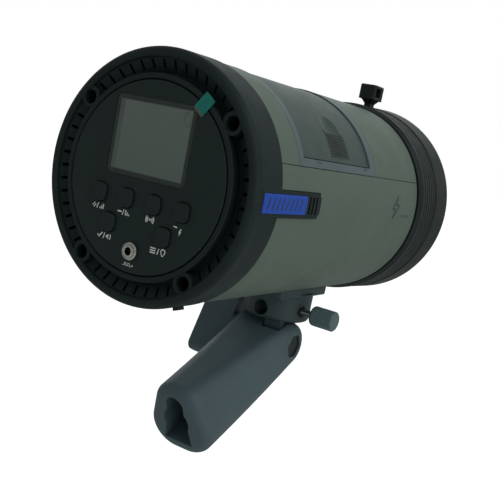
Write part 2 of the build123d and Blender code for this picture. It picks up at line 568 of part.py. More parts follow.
with BuildPart() as glass_dome:
    with BuildSketch(AXIAL):
        with BuildLine():
            inner_r = DOME_R - DOME_WALL
            Polyline((DOME_SPRING, inner_r), (PAN_FLOOR + 0.1, inner_r),
                     (PAN_FLOOR + 0.1, DOME_R), (DOME_SPRING, DOME_R))
            ThreePointArc((DOME_SPRING, DOME_R),
                          (DOME_SPRING + DOME_R / sqrt(2), DOME_R / sqrt(2)), (DOME_SPRING + DOME_R, 0))
            Line((DOME_SPRING + DOME_R, 0), (DOME_SPRING + inner_r, 0))
            ThreePointArc((DOME_SPRING + inner_r, 0),
                          (DOME_SPRING + inner_r / sqrt(2), inner_r / sqrt(2)), (DOME_SPRING, inner_r))
        make_face()
    revolve(axis=OPTICAL_AXIS)
glass_dome.part.label = "glass_dome"
export_step(glass_dome.part, "parts/glass_dome.step")

# ------------------------------------------------------------ cooling and electronics
FINS, FIN_PITCH, FIN_T = 9, 7.0, 2.0
with BuildPart() as heat_sink:
    tube(190, 194, FRONT_BORE_R - 0.3)
    tube(194, 196, 16)
    for fin in range(FINS):
        fin_x = (fin - (FINS - 1) / 2) * FIN_PITCH
        block((fin_x - FIN_T / 2, fin_x + FIN_T / 2), (166, 190), (-30, 30))
    block((-4, 4), (180, 200), (41, 60), Mode.SUBTRACT)
heat_sink.part.label = "heat_sink"
export_step(heat_sink.part, "parts/heat_sink.step")

FAN_SIZE, FAN_START, FAN_END, FAN_BORE_R, FAN_HUB_R = 70.0, 143.0, 158.0, 33.0, 13.0
with BuildPart() as fan_frame:
    slab(0, (FAN_SIZE, FAN_SIZE), 4.0, FAN_START, FAN_END)
    tube(FAN_START - 1, FAN_END + 1, FAN_BORE_R, mode=Mode.SUBTRACT)
    tube(FAN_START, FAN_START + 2.5, FAN_HUB_R)
    block((-FAN_BORE_R - 1, FAN_BORE_R + 1), (FAN_START, FAN_START + 2.5), (-1.5, 1.5))
    block((-1.5, 1.5), (FAN_START, FAN_START + 2.5), (-FAN_BORE_R - 1, FAN_BORE_R + 1))
    tube(FAN_START + 2.5, FAN_START + 9, 1.5)
fan_frame.part.label = "fan_frame"
export_step(fan_frame.part, "parts/fan_frame.step")

BLADES, BLADE_PITCH = 7, 38.0
with BuildPart() as fan_impeller:
    tube(FAN_START + 3.5, FAN_END - 1, FAN_HUB_R)
    for blade in range(BLADES):
        spoke = Plane(origin=(0, REAR_Y + (FAN_START + FAN_END) / 2 + 1.2, AXIS_Z), x_dir=(0, 1, 0),
                      z_dir=(cos(radians(blade * 360 / BLADES)), 0, sin(radians(blade * 360 / BLADES))))
        with BuildSketch(spoke.offset(FAN_HUB_R - 1)):
            Rectangle(11, 1.4, rotation=BLADE_PITCH)
        extrude(amount=FAN_BORE_R - FAN_HUB_R - 0.6)
    tube(FAN_START + 2.4, FAN_START + 9.2, 1.55, mode=Mode.SUBTRACT)
fan_impeller.part.label = "fan_impeller"
export_step(fan_impeller.part, "parts/fan_impeller.step")

BOARD_TOP, CAP_R = -22.4, 14.0
with BuildPart() as main_board:
    block((-44, 44), (40, 135), (BOARD_TOP - 1.6, BOARD_TOP))
main_board.part.label = "main_board"
export_step(main_board.part, "parts/main_board.step")

with BuildPart() as capacitors:
    for cap_x in (-31.0, 0.0, 31.0):
        tube(48, 112, CAP_R, x=cap_x, height=BOARD_TOP + CAP_R)
capacitors.part.label = "capacitors"
export_step(capacitors.part, "parts/capacitors.step")

# ------------------------------------------------------------ tilt bracket
with BuildPart() as tilt_bracket:
    block((-SADDLE_X / 2, SADDLE_X / 2), (SADDLE_START, SADDLE_END), (SADDLE_BOTTOM, -40))
    fillet(tilt_bracket.edges().filter_by(Axis.Z), 4.0)
    fillet(tilt_bracket.edges().group_by(Axis.Z)[0], 1.2)
    with BuildSketch(level(SADDLE_BOTTOM + 2)):
        with Locations((0, TURRET_FORWARD)):
            Circle(TURRET_R)
    extrude(amount=TURRET_BOTTOM - SADDLE_BOTTOM - 2)
    fillet(tilt_bracket.edges().group_by(Axis.Z)[0], 3.0)
    tube(SADDLE_START - 1, SADDLE_END + 1, BODY_R + 0.1, mode=Mode.SUBTRACT)
    with BuildSketch(pivot_side(FORK_MID_X - TONGUE_X / 2)):
        Circle(TONGUE_R)
        with Locations((0, TONGUE_R)):
            Rectangle(2 * NECK_HALF, 2 * TONGUE_R)
    extrude(amount=TONGUE_X)
    with BuildSketch(pivot_side(FORK_MID_X - TONGUE_X)):
        Circle(BOLT_R + 0.08)
    extrude(amount=2 * TONGUE_X, mode=Mode.SUBTRACT)
    # umbrella shaft hole along the head, with a lead-in at each mouth
    tube(SADDLE_START, SADDLE_END, UMBRELLA_R, height=UMBRELLA_Z, mode=Mode.SUBTRACT)
    shaft_mouth = tilt_bracket.edges().filter_by_position(
        Axis.Y, REAR_Y + TURRET_FORWARD - TURRET_R - 1, REAR_Y + TURRET_FORWARD - TURRET_R + 1)
    chamfer(shaft_mouth, SHAFT_LEAD)
    # threaded insert's seat and the clamp screw's way in, on the right
    with BuildSketch(side(0)):
        with Locations((KNOB_FORWARD, KNOB_Z)):
            Circle(CLAMP_SCREW_R + 0.3)
    extrude(amount=30, mode=Mode.SUBTRACT)
    with BuildSketch(side(11.0)):
        with Locations((KNOB_FORWARD, KNOB_Z)):
            Circle(INSERT_R + 0.05)
    extrude(amount=20, mode=Mode.SUBTRACT)
    for screw_x, screw_f in SADDLE_SCREWS:
        with BuildSketch(level(-60.5)):
            with Locations((screw_x, screw_f)):
                Circle(2.05)
        extrude(amount=10, mode=Mode.SUBTRACT)
tilt_bracket.part.label = "tilt_bracket"
export_step(tilt_bracket.part, "parts/tilt_bracket.step")

with BuildPart() as bracket_screws:
    for screw_x, screw_f in SADDLE_SCREWS:
        with BuildSketch(level(-60.3)):
            with Locations((screw_x, screw_f)):
                Circle(2.0)
        extrude(amount=10)
        with BuildSketch(level(-52.4)):
            with Locations((screw_x, screw_f)):
                Circle(3.6)
        extrude(amount=2.6)
bracket_screws.part.label = "bracket_screws"
export_step(bracket_screws.part, "parts/bracket_screws.step")

with BuildPart() as umbrella_insert:
    with BuildSketch(side(11.2)):
        with Locations((KNOB_FORWARD, KNOB_Z)):
            Circle(INSERT_R)
            Circle(CLAMP_SCREW_R + 0.07, mode=Mode.SUBTRACT)
    extrude(amount=8.6)
umbrella_insert.part.label = "umbrella_insert"
export_step(umbrella_insert.part, "parts/umbrella_insert.step")

# ------------------------------------------------------------ umbrella clamp knob
KNOB_BAND = 5.2           # the groove's distance from the knob's inner end
with BuildPart() as umbrella_knob:
    with BuildSketch(side(KNOB_START)):
        with Locations((KNOB_FORWARD, KNOB_Z)):
            Circle(KNOB_R)
    extrude(amount=KNOB_END - KNOB_START)
    fillet(umbrella_knob.faces().sort_by(Axis.X)[0].edges(), 2.2)
    chamfer(umbrella_knob.faces().sort_by(Axis.X)[-1].edges(), 0.8)
    with BuildSketch(side(KNOB_START + KNOB_BAND)):
        with Locations((KNOB_FORWARD, KNOB_Z)):
            Circle(KNOB_R + 1)
            Circle(KNOB_R - 0.3, mode=Mode.SUBTRACT)
    extrude(amount=0.7, mode=Mode.SUBTRACT)
    with BuildSketch(side(KNOB_START - 1)):
        with Locations((KNOB_FORWARD, KNOB_Z)):
            Circle(CLAMP_SCREW_R)
    extrude(amount=9, mode=Mode.SUBTRACT)
umbrella_knob.part.label = "umbrella_knob"
export_step(umbrella_knob.part, "parts/umbrella_knob.step")

with BuildPart() as umbrella_screw:
    with BuildSketch(side(5.4)):
        with Locations((KNOB_FORWARD, KNOB_Z)):
            Circle(CLAMP_SCREW_R)
    extrude(amount=KNOB_START + 8 - 5.4)
    chamfer(umbrella_screw.faces().sort_by(Axis.X)[0].edges(), 0.6)
umbrella_screw.part.label = "umbrella_screw"
export_step(umbrella_screw.part, "parts/umbrella_screw.step")

# ------------------------------------------------------------ grip with the stand socket
# The socket's mouth, seen from outside: an arched top over a round bore, with a flat-bottomed
# channel below it.
ear_corner = ((GRIP_X - EAR_STEP) / 2 - EAR_EDGE, EAR_EDGE, EAR_R - EAR_STEP / 2 - EAR_EDGE)
EAR_SECTION = (ear_corner, (ear_corner[0], ear_corner[1], -ear_corner[2]))


def grip_section(plane, section):
    """Closed outline drawn tightly round the section's four corner circles."""
    with BuildSketch(plane) as outline:
        for half, corner, height in section:
            with Locations((-half, height), (half, height)):
                Circle(corner)
        make_hull()
    return outline.sketch


with BuildPart() as grip_shell:
    loft([grip_section(SOCKET, MOUTH_SECTION),
          grip_section(SOCKET.offset(-GRIP_REACH / 2), MIDDLE_SECTION),
          grip_section(SOCKET.offset(-GRIP_REACH), EAR_SECTION)])
    fillet(grip_shell.faces().sort_by(Axis((0, 0, 0), SOCKET.z_dir))[-1].edges(), MOUTH_EDGE)
    with BuildPart(mode=Mode.PRIVATE) as ears:
        with BuildSketch(pivot_side(-GRIP_X / 2)):
            Circle(EAR_R)
        extrude(amount=GRIP_X)
        fillet(ears.edges().filter_by(GeomType.CIRCLE), EAR_EDGE)
    add(ears.part)
    # fork slot for the bracket's tongue
    with BuildSketch(pivot_side(FORK_MID_X - FORK_X / 2)):
        Circle(FORK_R)
    extrude(amount=FORK_X, mode=Mode.SUBTRACT)
    # through hole for the tilt bolt, and the hexagon that keeps its head from turning
    with BuildSketch(pivot_side(-GRIP_X / 2 - 1)):
        Circle(BOLT_R + 0.15)
    extrude(amount=GRIP_X + 2, mode=Mode.SUBTRACT)
    with BuildSketch(pivot_side(GRIP_X / 2 - HEX_HEAD - 0.9)):
        RegularPolygon(HEX_AF / 2 + 0.15, 6, major_radius=False)
    extrude(amount=HEX_HEAD + 3, mode=Mode.SUBTRACT)
    # stand socket
    with BuildSketch(SOCKET.offset(0.01)):
        Circle(SOCKET_R)
        with BuildLine():
            Polyline((-5.7, 0), (-5.7, 10.0))
            ThreePointArc((-5.7, 10.0), (0, 15.7), (5.7, 10.0))
            Polyline((5.7, 10.0), (5.7, 0), (-5.7, 0))
        make_face()
        with BuildLine():
            Polyline((-6.6, 0), (6.6, 0), (7.6, -5.0), (9.1, -14.3), (-9.1, -14.3), (-7.6, -5.0), close=True)
        make_face()
    extrude(amount=-SOCKET_DEPTH, mode=Mode.SUBTRACT)
grip_shell.part.label = "grip_shell"
export_step(grip_shell.part, "parts/grip_shell.step")

HEAD_SEAT = GRIP_X / 2 - HEX_HEAD - 0.9
BOLT_TIP = -34.0
with BuildPart() as tilt_bolt:
    with BuildSketch(pivot_side(BOLT_TIP)):
        Circle(BOLT_R)
    extrude(amount=HEAD_SEAT - BOLT_TIP)
    with BuildSketch(pivot_side(HEAD_SEAT)):
        RegularPolygon(HEX_AF / 2, 6, major_radius=False)
    extrude(amount=HEX_HEAD)
tilt_bolt.part.label = "tilt_bolt"
export_step(tilt_bolt.part, "parts/tilt_bolt.step")

WASHER_R, WASHER_T = 11.0, 1.0
with BuildPart() as friction_washers:
    for washer_x in (FORK_MID_X - FORK_X / 2 + 0.1, FORK_MID_X + FORK_X / 2 - 0.1 - WASHER_T):
        with BuildSketch(pivot_side(washer_x)):
            Circle(WASHER_R)
            Circle(BOLT_R + 0.1, mode=Mode.SUBTRACT)
        extrude(amount=WASHER_T)
friction_washers.part.label = "friction_washers"
export_step(friction_washers.part, "parts/friction_washers.step")

# ------------------------------------------------------------ tilt lock lever
WING_PLANE = Plane(
    origin=(WING_OUT, PIVOT_Y, PIVOT_Z),
    x_dir=(0, cos(radians(WING_LEAN)), sin(radians(WING_LEAN))),
    z_dir=(1, 0, 0),
)
with BuildPart() as tilt_lever:
    with BuildSketch(WING_PLANE):
        RectangleRounded(WING_L, WING_T, WING_CORNER)
    extrude(amount=WING_IN - WING_OUT)
    fillet(tilt_lever.edges().group_by(Axis.X)[0], 2.0)
    with BuildSketch(pivot_side(WING_IN - 1)):
        Circle(9.0)
    extrude(amount=-GRIP_X / 2 - 0.5 - WING_IN + 1)
    with BuildSketch(pivot_side(-GRIP_X / 2)):
        Circle(BOLT_R + 0.08)
    extrude(amount=BOLT_TIP + GRIP_X / 2 - 0.5, mode=Mode.SUBTRACT)
tilt_lever.part.label = "tilt_lever"
export_step(tilt_lever.part, "parts/tilt_lever.step")

# ------------------------------------------------------------ lever return spring
SPRING_R, WIRE_R, SPRING_TURNS = 1.5, 0.3, 5
SPRING_START, SPRING_END = 203.5, STEM_FORWARD - STEM_Y / 2 - 0.2
with BuildPart() as lever_spring:
    with BuildLine():
        coil = Helix(pitch=(SPRING_END - SPRING_START - 2 * WIRE_R) / SPRING_TURNS,
                     height=SPRING_END - SPRING_START - 2 * WIRE_R, radius=SPRING_R,
                     center=(0, REAR_Y + SPRING_START + WIRE_R, AXIS_Z + PIN_HEIGHT + 0.6),
                     direction=(0, 1, 0))
    with BuildSketch(Plane(origin=coil @ 0, z_dir=coil % 0)):
        Circle(WIRE_R)
    sweep(path=coil, is_frenet=True)
lever_spring.part.label = "lever_spring"
export_step(lever_spring.part, "parts/lever_spring.step")
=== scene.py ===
from math import asin, cos, pi, radians, sin, sqrt

import bpy
import bmesh
from mathutils import Matrix, Vector


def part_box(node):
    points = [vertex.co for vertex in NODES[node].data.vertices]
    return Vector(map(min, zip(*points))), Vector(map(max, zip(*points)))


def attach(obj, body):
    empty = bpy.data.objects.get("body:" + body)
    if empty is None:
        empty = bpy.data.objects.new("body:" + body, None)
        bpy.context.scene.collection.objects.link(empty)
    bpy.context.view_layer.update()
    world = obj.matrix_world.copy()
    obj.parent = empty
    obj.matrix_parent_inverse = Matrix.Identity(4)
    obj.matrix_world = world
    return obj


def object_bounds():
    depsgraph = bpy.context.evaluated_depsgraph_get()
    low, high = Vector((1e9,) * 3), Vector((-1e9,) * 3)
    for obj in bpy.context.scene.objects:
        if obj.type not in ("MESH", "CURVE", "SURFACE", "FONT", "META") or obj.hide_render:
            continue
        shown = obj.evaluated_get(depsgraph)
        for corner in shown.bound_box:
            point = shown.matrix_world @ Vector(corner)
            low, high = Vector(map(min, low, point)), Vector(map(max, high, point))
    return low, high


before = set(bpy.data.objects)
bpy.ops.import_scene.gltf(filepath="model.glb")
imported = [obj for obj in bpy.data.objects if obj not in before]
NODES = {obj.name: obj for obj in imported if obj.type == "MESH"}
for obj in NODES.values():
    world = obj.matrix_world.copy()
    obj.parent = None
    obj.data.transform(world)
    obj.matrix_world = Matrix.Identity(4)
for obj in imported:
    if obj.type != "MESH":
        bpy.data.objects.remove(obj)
CAD_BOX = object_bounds()

# ---------------------------------------------------------------- places
MM = 0.001
panel_low, panel_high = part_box("control_panel")
PANEL_Y = panel_low.y                                   # the panel's rear face
AXIS_Z = (panel_low.z + panel_high.z) / 2               # height of the optical axis
window_low, window_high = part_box("display_window")
WINDOW_Z = (window_low.z + window_high.z) / 2
BADGE_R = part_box("badge_plate")[1].x / MM               # radii of the round sides, in mm
BODY_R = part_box("lower_shell")[1].x / MM


def head(x, forward, height):
    """A point of the head from mm right of, forward of the rear face, and above the axis."""
    return Vector((x * MM, PANEL_Y + forward * MM, AXIS_Z + height * MM))


# ---------------------------------------------------------------- material kit
def srgb(r, g, b):
    """Linear colour of a display colour in 0-255."""
    def part(v):
        v /= 255
        return v / 12.92 if v <= 0.04045 else ((v + 0.055) / 1.055) ** 2.4
    return (part(r), part(g), part(b), 1.0)


def shade(colour, factor, lift=0.0):
    """The colour made darker or lighter by a factor, then raised a little, never past white."""
    return tuple(min(1, c * factor + lift) for c in colour[:3]) + (1,)


class Kit:
    """One material being put together: a Principled shader and short calls for its nodes."""

    def __init__(self, name):
        self.material = bpy.data.materials.new(name)
        self.material.use_nodes = True
        self.tree = self.material.node_tree
        self.tree.nodes.clear()
        self.out = self.add("ShaderNodeOutputMaterial")
        self.shader = self.add("ShaderNodeBsdfPrincipled")
        self.tree.links.new(self.shader.outputs[0], self.out.inputs[0])
        self.place = self.add("ShaderNodeTexCoord").outputs["Object"]

    def add(self, kind, **settings):
        node = self.tree.nodes.new(kind)
        for key, value in settings.items():
            setattr(node, key, value)
        return node

    def link(self, source, target):
        self.tree.links.new(source, target)

    def feed(self, node, key, value):
        if isinstance(value, bpy.types.NodeSocket):
            self.link(value, node.inputs[key])
        else:
            node.inputs[key].default_value = value

    def noise(self, scale, detail=3.0, rough=0.55, place=None):
        node = self.add("ShaderNodeTexNoise")
        self.link(place or self.place, node.inputs["Vector"])
        for key, value in (("Scale", scale), ("Detail", detail), ("Roughness", rough)):
            node.inputs[key].default_value = value
        return node.outputs["Fac"]

    def cells(self, scale):
        node = self.add("ShaderNodeTexVoronoi", feature="SMOOTH_F1")
        self.link(self.place, node.inputs["Vector"])
        node.inputs["Scale"].default_value = scale
        return node.outputs["Distance"]

    def spread(self, value, low, high, to_low=0.0, to_high=1.0):
        node = self.add("ShaderNodeMapRange")
        for key, v in ((0, value), (1, low), (2, high), (3, to_low), (4, to_high)):
            self.feed(node, key, v)
        return node.outputs[0]

    def math(self, what, a, b=0.0):
        node = self.add("ShaderNodeMath", operation=what)
        self.feed(node, 0, a)
        self.feed(node, 1, b)
        return node.outputs[0]

    def mix(self, share, a, b):
        node = self.add("ShaderNodeMix", data_type="RGBA")
        for key, v in ((0, share), (6, a), (7, b)):
            self.feed(node, key, v)
        return node.outputs[2]

    def across_and_up(self):
        """The point's place to the right and above, in metres."""
        node = self.add("ShaderNodeSeparateXYZ")
        self.link(self.place, node.inputs[0])
        return node.outputs["X"], node.outputs["Z"]

    def soft_edges(self, radius):
        node = self.add("ShaderNodeBevel", samples=6)
        node.inputs["Radius"].default_value = radius
        return node.outputs[0]

    def edge_mask(self, soft):
        """1 on an outer or inner edge that soft rounds, 0 on open surface."""
        geometry = self.add("ShaderNodeNewGeometry")
        dot = self.add("ShaderNodeVectorMath", operation="DOT_PRODUCT")
        self.link(soft, dot.inputs[0])
        self.link(geometry.outputs["Normal"], dot.inputs[1])
        return self.spread(dot.outputs["Value"], 0.995, 0.86)

    def bump(self, height, depth, normal=None):
        node = self.add("ShaderNodeBump")
        node.inputs["Distance"].default_value = depth
        node.inputs["Strength"].default_value = 1.0
        self.feed(node, "Height", height)
        if normal is not None:
            self.link(normal, node.inputs["Normal"])
        return node.outputs[0]

    def finish(self, colour, rough, normal=None, **plain):
        self.feed(self.shader, "Base Color", colour)
        self.feed(self.shader, "Roughness", rough)
        if normal is not None:
            self.link(normal, self.shader.inputs["Normal"])
        for key, value in plain.items():
            self.shader.inputs[key.replace("_", " ")].default_value = value
        return self.material


def moulded(name, colour, rough=0.5, grain=2400, depth=0.00002, mottle=0.10, edge=0.16,
            soft=0.00035, specular=0.5, sparkle=0.0, dust=0.10):
    """Moulded or painted surface: fine grain, uneven tone, handled edges and a little dust."""
    k = Kit(name)
    normal = k.soft_edges(soft)
    worn = k.math("MULTIPLY", k.edge_mask(normal), k.spread(k.noise(210, 4), 0.35, 0.7))
    dark, light = shade(colour, 1 - mottle), shade(colour, 1 + mottle)
    tone = k.mix(k.spread(k.noise(38, 4), 0.3, 0.7), dark, light)
    tone = k.mix(k.spread(k.cells(grain * 0.6), 0.1, 0.6, 0.0, 0.22), tone, dark)
    if sparkle:
        speck = k.spread(k.noise(2900, 1), 0.66, 0.76, 0.0, sparkle)
        tone = k.mix(speck, tone, shade(colour, 3.2, 0.03))
    tone = k.mix(k.math("MULTIPLY", worn, edge), tone, shade(colour, 1.9, 0.012))
    fluff = k.spread(k.noise(640, 2, 0.7), 0.69, 0.76, 0.0, dust)
    tone = k.mix(fluff, tone, srgb(150, 152, 148))
    gloss = k.spread(k.noise(90, 4), 0.25, 0.75, rough - 0.05, rough + 0.06)
    relief = k.math("ADD", k.cells(grain), k.math("MULTIPLY", k.noise(grain * 1.7, 2), 0.6))
    normal = k.bump(relief, depth, normal)
    return k.finish(tone, gloss, normal, Specular_IOR_Level=specular)


TOOL_LINES = (26.0, 1.0, 26.0)                          # fine across, long from rear to front


def bare_metal(name, colour, rough=0.25, scratch=0.05):
    """Machined metal with fine tool lines from rear to front and small stains."""
    k = Kit(name)
    normal = k.soft_edges(0.0002)
    stretch = k.add("ShaderNodeMapping")
    stretch.inputs["Scale"].default_value = TOOL_LINES
    k.link(k.place, stretch.inputs["Vector"])
    lines = k.noise(900, 3, 0.6, stretch.outputs[0])
    stains = k.spread(k.noise(160, 4), 0.3, 0.75)
    tone = k.mix(stains, shade(colour, 0.82), colour)
    gloss = k.spread(lines, 0.2, 0.8, rough - scratch, rough + scratch * 2)
    normal = k.bump(lines, 0.000006, normal)
    return k.finish(tone, gloss, normal, Metallic=1.0)


# ---------------------------------------------------------------- materials
BLACK = moulded("cover black", srgb(31, 41, 42), 0.56, 2100, 0.000022, mottle=0.12, edge=0.35,
                specular=0.25)
RING_BLACK = moulded("ring black", srgb(31, 38, 38), 0.5, 1900, 0.00003, mottle=0.14, edge=0.4,
                     specular=0.3)
PANEL = moulded("panel black", srgb(35, 48, 46), 0.5, 3000, 0.000012, mottle=0.07, edge=0.3, dust=0.12,
                specular=0.25)
RUBBER = moulded("button rubber", srgb(33, 42, 42), 0.55, 2600, 0.000012, edge=0.5, soft=0.0004,
                 specular=0.3)
GREEN = moulded("body green", srgb(100, 113, 101), 0.5, 1700, 0.000016, mottle=0.05, edge=0.25,
                sparkle=0.18, specular=0.35)
FRAME = moulded("frame grey", srgb(98, 108, 113), 0.46, 1900, 0.00001, mottle=0.05, edge=0.3,
                specular=0.35)
PACK = moulded("pack grey", srgb(73, 85, 82), 0.48, 1800, 0.000014, mottle=0.06, edge=0.3,
               specular=0.35)
LATCH = moulded("latch grey", srgb(68, 76, 73), 0.5, 1800, 0.000014, mottle=0.06, edge=0.6,
                specular=0.35)
GRIP = moulded("grip grey", srgb(86, 101, 108), 0.5, 1500, 0.000012, mottle=0.06, edge=0.22,
               sparkle=0.08, specular=0.35)
BRACKET = moulded("bracket grey", srgb(66, 78, 82), 0.47, 1600, 0.000014, mottle=0.07, edge=0.35,
                  sparkle=0.1, specular=0.35)
KNOB = moulded("knob grey", srgb(98, 116, 120), 0.45, 1800, 0.00001, mottle=0.07, edge=0.5,
               specular=0.35)
FOOT = moulded("foot rubber", srgb(34, 36, 36), 0.7, 1500, 0.00002)
CAVITY = moulded("inside black", srgb(16, 18, 18), 0.7, 1500, 0.00001)
CHROME = bare_metal("chrome", srgb(216, 214, 204), 0.16)
STEEL = bare_metal("steel", srgb(170, 171, 166), 0.28)
DARK_STEEL = bare_metal("blackened steel", srgb(70, 72, 72), 0.4)
BRASS = bare_metal("brass", srgb(196, 160, 90), 0.3)
INSERT = bare_metal("dark insert", srgb(60, 62, 60), 0.5)
ALUMINIUM = bare_metal("aluminium", srgb(176, 180, 180), 0.38, scratch=0.08)
PAN_METAL = bare_metal("reflector metal", srgb(208, 209, 204), 0.22)


def tinted(name, colour, rough, **plain):
    """Small inner part: one tone with fine unevenness and grain."""
    k = Kit(name)
    tone = k.mix(k.spread(k.noise(150, 4), 0.3, 0.7), shade(colour, 0.86), colour)
    normal = k.bump(k.noise(1400, 3), 0.000012, k.soft_edges(0.0002))
    gloss = k.spread(k.noise(300, 3), 0.3, 0.7, rough - 0.04, rough + 0.05)
    return k.finish(tone, gloss, normal, **plain)


BADGE = moulded("badge blue", srgb(6, 76, 190), 0.42, 2000, 0.000010, mottle=0.08, edge=0.5,
                soft=0.0006, dust=0.05)
BOARD = tinted("board green", srgb(24, 74, 46), 0.4)
SLEEVE = tinted("capacitor sleeve", srgb(28, 34, 58), 0.35)
CERAMIC = tinted("ceramic white", srgb(214, 212, 204), 0.5)
LED = tinted("lamp yellow", srgb(226, 196, 74), 0.4)
QUARTZ = tinted("quartz tube", srgb(226, 228, 226), 0.18, Coat_Weight=0.6)


def frosted():
    """Milky glass that lets some of the lamp behind it show."""
    k = Kit("frosted dome")
    tone = k.mix(k.spread(k.noise(70, 3), 0.3, 0.7), srgb(222, 226, 224), srgb(240, 242, 240))
    normal = k.bump(k.noise(2600, 3), 0.000012)
    return k.finish(tone, k.spread(k.noise(400, 3), 0.3, 0.7, 0.36, 0.46), normal,
                    Alpha=0.62, Coat_Weight=0.3)


BORDER = (-20.4, 20.4, -15.8, 15.8)                     # inner edge of the black print, in mm
GLASS = (-17.8, 20.2, -15.6, 15.6)                      # the display's own face, beside a strip
GLASS_HALF = 16.0
BLISTER_X, BLISTER_Z = 18.0, 11.6
BLISTER_IN, BLISTER_OUT = 1.3, 1.9


def display_face(name, with_film):
    """Clear front plate: black print round its edge and the display's grey face behind it, painted lighter
    overall and lighter towards the top as a painted sheen of the film.
    The protective film adds a lifted blister in its upper right corner, with painted shade round the
    blister's rim."""
    k = Kit(name)
    x, z = k.across_and_up()

    def inside(x_low, x_high, z_low, z_high, softness=0.12):
        across = k.math("ABSOLUTE", k.math("SUBTRACT", x, (x_low + x_high) / 2 * MM))
        up = k.math("ABSOLUTE", k.math("SUBTRACT", z, WINDOW_Z + (z_low + z_high) / 2 * MM))
        over = k.math("MAXIMUM", k.math("SUBTRACT", across, (x_high - x_low) / 2 * MM),
                      k.math("SUBTRACT", up, (z_high - z_low) / 2 * MM))
        return k.spread(over, softness * MM, -softness * MM)

    border = k.mix(k.spread(k.noise(300, 3), 0.3, 0.7), srgb(50, 57, 54), srgb(58, 65, 62))
    # Painted sheen: the display's grey face is lightened, and made lighter towards the top, to stand in
    # for the film's reflection.
    rise = k.spread(z, WINDOW_Z - GLASS_HALF * MM, WINDOW_Z + GLASS_HALF * MM)
    glass = k.mix(rise, srgb(108, 117, 110), srgb(116, 125, 118))
    glass = k.mix(k.spread(k.noise(26, 3), 0.42, 0.62, 0.0, 0.3), glass, srgb(102, 110, 104))
    strip = k.mix(k.spread(k.noise(120, 3), 0.3, 0.7), srgb(94, 102, 95), srgb(100, 108, 101))
    tone = k.mix(inside(*BORDER), border, strip)
    tone = k.mix(inside(*GLASS, softness=0.3), tone, glass)
    relief = k.noise(60, 3)
    rough = k.spread(k.noise(60, 4), 0.3, 0.7, 0.2, 0.3)
    if with_film:
        side = k.math("SUBTRACT", x, BLISTER_X * MM)
        up = k.math("SUBTRACT", z, WINDOW_Z + BLISTER_Z * MM)
        lean = k.math("ADD", side, k.math("MULTIPLY", up, 0.25))
        away = k.math("SQRT", k.math("ADD", k.math("MULTIPLY", lean, lean),
                                     k.math("MULTIPLY", k.math("MULTIPLY", up, up), 0.3)))
        blister = k.spread(away, BLISTER_OUT * MM, BLISTER_IN * MM)
        # Painted shade: a dark rim drawn round the blister's edge.
        ring = k.math("MULTIPLY", blister, k.math("SUBTRACT", 1.0, blister))
        relief = k.math("ADD", relief, k.math("MULTIPLY", blister, 1.5))
        tone = k.mix(k.math("MULTIPLY", ring, 1.6), tone, srgb(60, 66, 62))
    normal = k.bump(relief, 0.00006, k.soft_edges(0.00015))
    return k.finish(tone, rough, normal, Specular_IOR_Level=0.4)


TAB_TURN = radians(53.6)
TAB_X, TAB_Z = 25.3, 36.6
STRIP_END, TEAL_START = -3.5, -3.3


def pull_tab():
    """Teal tab of the film; its inner end is the pale bare adhesive strip."""
    k = Kit("film tab")
    x, z = k.across_and_up()
    along = k.math("ADD", k.math("MULTIPLY", k.math("SUBTRACT", x, TAB_X * MM), cos(TAB_TURN)),
                   k.math("MULTIPLY", k.math("SUBTRACT", z, AXIS_Z + TAB_Z * MM), sin(TAB_TURN)))
    teal = k.mix(k.spread(k.noise(420, 4), 0.3, 0.7), srgb(0, 116, 106), srgb(0, 138, 126))
    tone = k.mix(k.spread(along, STRIP_END * MM, TEAL_START * MM), srgb(92, 98, 92), teal)
    normal = k.bump(k.noise(700, 3), 0.00002)
    return k.finish(tone, k.spread(k.noise(200, 3), 0.3, 0.7, 0.34, 0.46), normal)


FILM, WINDOW = display_face("screen film", True), display_face("display window", False)
TAB, DOME = pull_tab(), frosted()
WHITE_INK = tinted("white ink", srgb(252, 254, 252), 0.6)
GREY_INK = tinted("dark ink", srgb(44, 52, 48), 0.5)
BADGE_INK = tinted("badge ink", srgb(38, 58, 104), 0.5)

FINISHES = {
    BLACK: ["rear_cover"],
    RING_BLACK: ["front_ring", "release_lever"],
    PANEL: ["control_panel"],
    RUBBER: ["button_plus", "button_minus", "button_channel", "button_lamp", "button_set", "button_mode"],
    GREEN: ["lower_shell", "upper_rear_shell", "upper_front_shell"],
    FRAME: ["battery_frame"],
    PACK: ["battery_pack"],
    LATCH: ["battery_latch_right", "battery_latch_left"],
    GRIP: ["grip_shell", "tilt_lever"],
    BRACKET: ["tilt_bracket"],
    KNOB: ["umbrella_knob"],
    FOOT: ["rear_feet"],
    BADGE: ["badge_plate"],
    CHROME: ["sync_jack", "sync_jack_nut"],
    STEEL: ["umbrella_screw", "lock_pin", "friction_washers", "lever_spring"],
    DARK_STEEL: ["tilt_bolt", "rear_cover_screws", "bracket_screws", "bayonet_screws"],
    BRASS: ["battery_terminals"],
    INSERT: ["umbrella_insert"],
    ALUMINIUM: ["heat_sink", "bayonet_ring"],
    PAN_METAL: ["reflector_pan"],
    BOARD: ["button_board", "main_board", "display_module"],
    SLEEVE: ["capacitors"],
    CERAMIC: ["tube_base"],
    QUARTZ: ["flash_tube"],
    LED: ["modeling_lamp"],
    DOME: ["glass_dome"],
    FILM: ["screen_film"],
    WINDOW: ["display_window"],
    TAB: ["film_tab"],
    CAVITY: ["fan_frame", "fan_impeller"],
}
for finish, names in FINISHES.items():
    for name in names:
        mesh = NODES[name].data
        mesh.materials.clear()
        mesh.materials.append(finish)


# ---------------------------------------------------------------- mesh kit
def piece(name, mesh, body, finish):
    """A mesh of the scene's own, riding on a body of the CAD model."""
    obj = bpy.data.objects.new(name, mesh)
    bpy.context.scene.collection.objects.link(obj)
    mesh.materials.clear()
    mesh.materials.append(finish)
    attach(obj, body)


